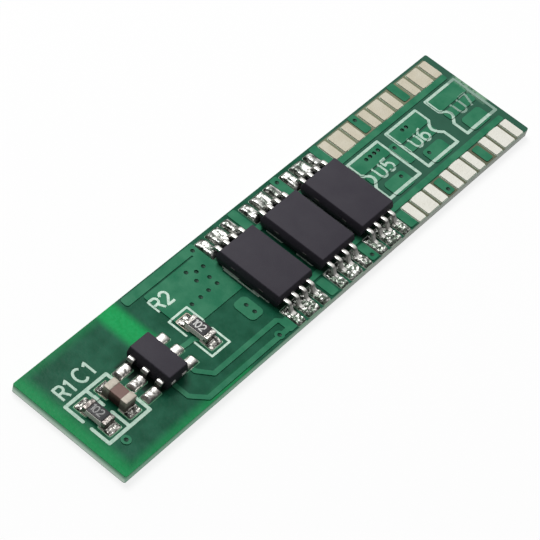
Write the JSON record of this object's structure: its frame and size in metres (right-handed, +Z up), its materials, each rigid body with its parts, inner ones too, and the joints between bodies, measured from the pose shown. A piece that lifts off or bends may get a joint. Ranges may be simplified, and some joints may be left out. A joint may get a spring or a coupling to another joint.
{
  "type": "battery management board",
  "caption": "Slim protection circuit board for one lithium cell, with a control chip, twin switching transistors, bare spare lands, resistors and a capacitor.",
  "frame": {"origin": "under the centre of the board, in the plane of the three tinned pads that it rests on", "axes": "+X along the board from the resistor end to the spare transistor places, +Y across it, +Z up out of the component side"},
  "size_m": [0.0356, 0.0076, 0.0018],
  "materials": {
    "glass_epoxy": "cut edge of glass cloth in pale epoxy",
    "copper_foil": "etched copper foil",
    "solder_mask": "semi-gloss green mask, slightly see-through",
    "legend_ink": "printed ink",
    "tin_coat": "levelled tin, satin",
    "solder": "bright solder, slightly grainy",
    "moulding": "fine matte moulding compound",
    "lead_frame": "tin-plated lead frame metal",
    "resistor_ceramic": "white alumina",
    "plated_ends": "tin-plated end",
    "resistor_glaze": "dark glaze",
    "capacitor_ceramic": "brown ceramic"
  },
  "bodies": {
    "root": {"core": "glass_epoxy", "via_barrels": "copper_foil", "top_pours": "copper_foil", "top_traces": "copper_foil", "top_lands": "copper_foil", "top_mask": "solder_mask", "bottom_copper": "copper_foil", "bottom_mask": "solder_mask", "cell_plus_tin": "tin_coat", "output_minus_tin": "tin_coat", "cell_minus_tin": "tin_coat", "legend": "legend_ink", "spare_tin_1": "tin_coat", "spare_tin_2": "tin_coat", "spare_tin_3": "tin_coat", "chip_body": "moulding", "chip_lead_1": "lead_frame", "chip_lead_2": "lead_frame", "chip_lead_3": "lead_frame", "chip_lead_4": "lead_frame", "chip_lead_5": "lead_frame", "chip_lead_6": "lead_frame", "chip_tie_bars": "lead_frame", "chip_solder": "solder", "fet_body_1": "moulding", "fet_body_2": "moulding", "fet_body_3": "moulding", "fet_near_leads_1": "lead_frame", "fet_near_leads_2": "lead_frame", "fet_near_leads_3": "lead_frame", "fet_far_leads_1": "lead_frame", "fet_far_leads_2": "lead_frame", "fet_far_leads_3": "lead_frame", "fet_tie_bars_1": "lead_frame", "fet_tie_bars_2": "lead_frame", "fet_tie_bars_3": "lead_frame", "fet_near_solder_1": "solder", "fet_near_solder_2": "solder", "fet_near_solder_3": "solder", "fet_far_solder_1": "solder", "fet_far_solder_2": "solder", "fet_far_solder_3": "solder", "resistor_1_base": "resistor_ceramic", "resistor_1_ends": "plated_ends", "resistor_1_glaze": "resistor_glaze", "resistor_1_solder": "solder", "resistor_2_base": "resistor_ceramic", "resistor_2_ends": "plated_ends", "resistor_2_glaze": "resistor_glaze", "resistor_2_solder": "solder", "capacitor_body": "capacitor_ceramic", "capacitor_ends": "plated_ends", "capacitor_solder": "solder"}
  },
  "joints": []
}
